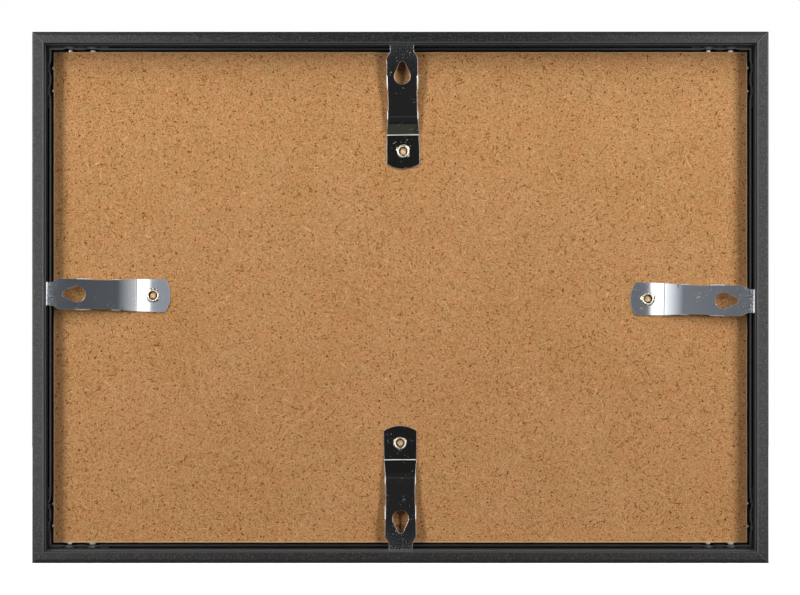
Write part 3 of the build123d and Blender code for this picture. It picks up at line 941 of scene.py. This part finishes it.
def softBox(name, place, aim, wide, tall, glow):
    light = bpy.data.lights.new(name, "AREA")
    light.shape = "RECTANGLE"
    light.size = wide
    light.size_y = tall
    light.energy = math.pi * wide * tall * glow
    obj = bpy.data.objects.new(name, light)
    bpy.context.collection.objects.link(obj)
    obj.location = place
    obj.rotation_euler = (Vector(aim) - Vector(place)).to_track_quat("-Z", "Y").to_euler()
    obj.visible_camera = False
    return obj


def makeLights(s):
    for hand, name in ((-1, "Left"), (1, "Right")):
        x, y, z = s["lampAt"]
        lamp = (middle.x + hand * x, y, middle.z + z)
        aim = (middle.x + hand * s["lampAim"], 0, middle.z + z)
        softBox(f"strip{name}", lamp, aim, *s["lampSize"], s["lampGlow"])
        spot = (middle.x + hand * (s["panelGap"] + s["panelWide"] / 2), -s["panelAway"], middle.z)
        aim = (spot[0], 0, spot[2])
        panel = softBox(f"panel{name}", spot, aim, s["panelWide"], s["panelTall"], s["panelGlow"])
        panel.visible_diffuse = False  # only for the shine on metal and coat
    softBox("softBoxFront", s["frontAt"], middle, *s["frontSize"], s["frontGlow"])


# what shiny pieces see round them: slants are the way sideways or up for each step ahead
studio = {
    "wallSlant": 0.55, "wallGlow": (0.12, 1.25), "wallHeight": (0.04, 0.13), "wallFade": (1.0, 0.25),
    "middleWidth": 0.03, "leftAndRight": (1.44, 0.72),
    "bandGlow": 0.45, "bandStart": (0.5, 0.9), "bandEnd": (2.0, 3.0),
    "cool": (0.92, 0.98, 1.05, 1), "warm": (1, 1, 0.98, 1), "warmFrom": (0.1, 0.4),
    "white": (1, 1, 1, 1), "whiteFrom": (0.1, 0.5), "fill": 0.004,
}


def makeWorld(s):
    world = bpy.data.worlds.new("studioWorld")
    bpy.context.scene.world = world
    world.use_nodes = True
    tree = world.node_tree
    tree.nodes.clear()
    x, y, z = axisParts(tree, addNode(tree, "ShaderNodeTexCoord").outputs["Generated"])
    ahead = larger(tree, times(tree, y, -1.0), 0.04)
    slantX = mathNode(tree, "DIVIDE", mathNode(tree, "ABSOLUTE", x), ahead)
    slantZ = mathNode(tree, "DIVIDE", mathNode(tree, "ABSOLUTE", z), ahead)
    # studio walls grow brighter to the sides, the left one most, and a band lies above and below
    walls = rangeNode(tree, slantX, 0.0, s["wallSlant"], *s["wallGlow"])
    walls = times(tree, walls, rangeNode(tree, slantZ, *s["wallHeight"], *s["wallFade"]))
    walls = times(tree, walls, rangeNode(tree, x, -s["middleWidth"], s["middleWidth"], *s["leftAndRight"]))
    band = rangeNode(tree, slantZ, *s["bandStart"], 0.0, s["bandGlow"])
    band = minus(tree, band, rangeNode(tree, slantZ, *s["bandEnd"], 0.0, s["bandGlow"]))
    tint = mixColour(tree, rangeNode(tree, slantX, *s["warmFrom"]), s["cool"], s["warm"])
    # past the object is the white background
    behind = rangeNode(tree, y, *s["whiteFrom"])
    tint = mixColour(tree, behind, tint, s["white"])
    glow = plus(tree, times(tree, larger(tree, walls, band), minus(tree, 1.0, behind)), behind)
    fill = addNode(tree, "ShaderNodeBackground", {"Color": s["white"], "Strength": s["fill"]}).outputs[0]
    seen = addNode(tree, "ShaderNodeBackground", {"Color": s["white"], "Strength": 1.0}).outputs[0]
    shine = addNode(tree, "ShaderNodeBackground", {"Color": tint, "Strength": glow}).outputs[0]
    path = addNode(tree, "ShaderNodeLightPath").outputs
    other = addNode(tree, "ShaderNodeMixShader", {0: path["Is Glossy Ray"], 1: fill, 2: shine}).outputs[0]
    direct = larger(tree, path["Is Camera Ray"], path["Is Transmission Ray"])
    mix = addNode(tree, "ShaderNodeMixShader", {0: direct, 1: other, 2: seen}).outputs[0]
    addNode(tree, "ShaderNodeOutputWorld", {"Surface": mix})


def makeCamera(s):
    data = bpy.data.cameras.new("photoCamera")
    data.sensor_width = 36.0
    data.lens = s["lens"]
    data.clip_start = 0.01
    camera = bpy.data.objects.new("photoCamera", data)
    bpy.context.collection.objects.link(camera)
    camera.location = (middle.x + s["shiftX"], -s["distance"], middle.z + s["shiftZ"])
    camera.rotation_euler = (math.radians(90), 0, 0)
    bpy.context.scene.camera = camera


makeFloor(stageSet)
makeCards(stageSet)
makeLights(stageSet)
makeWorld(studio)
makeCamera(stageSet)
bpy.context.scene.view_settings.view_transform = "Standard"
print("stage set")
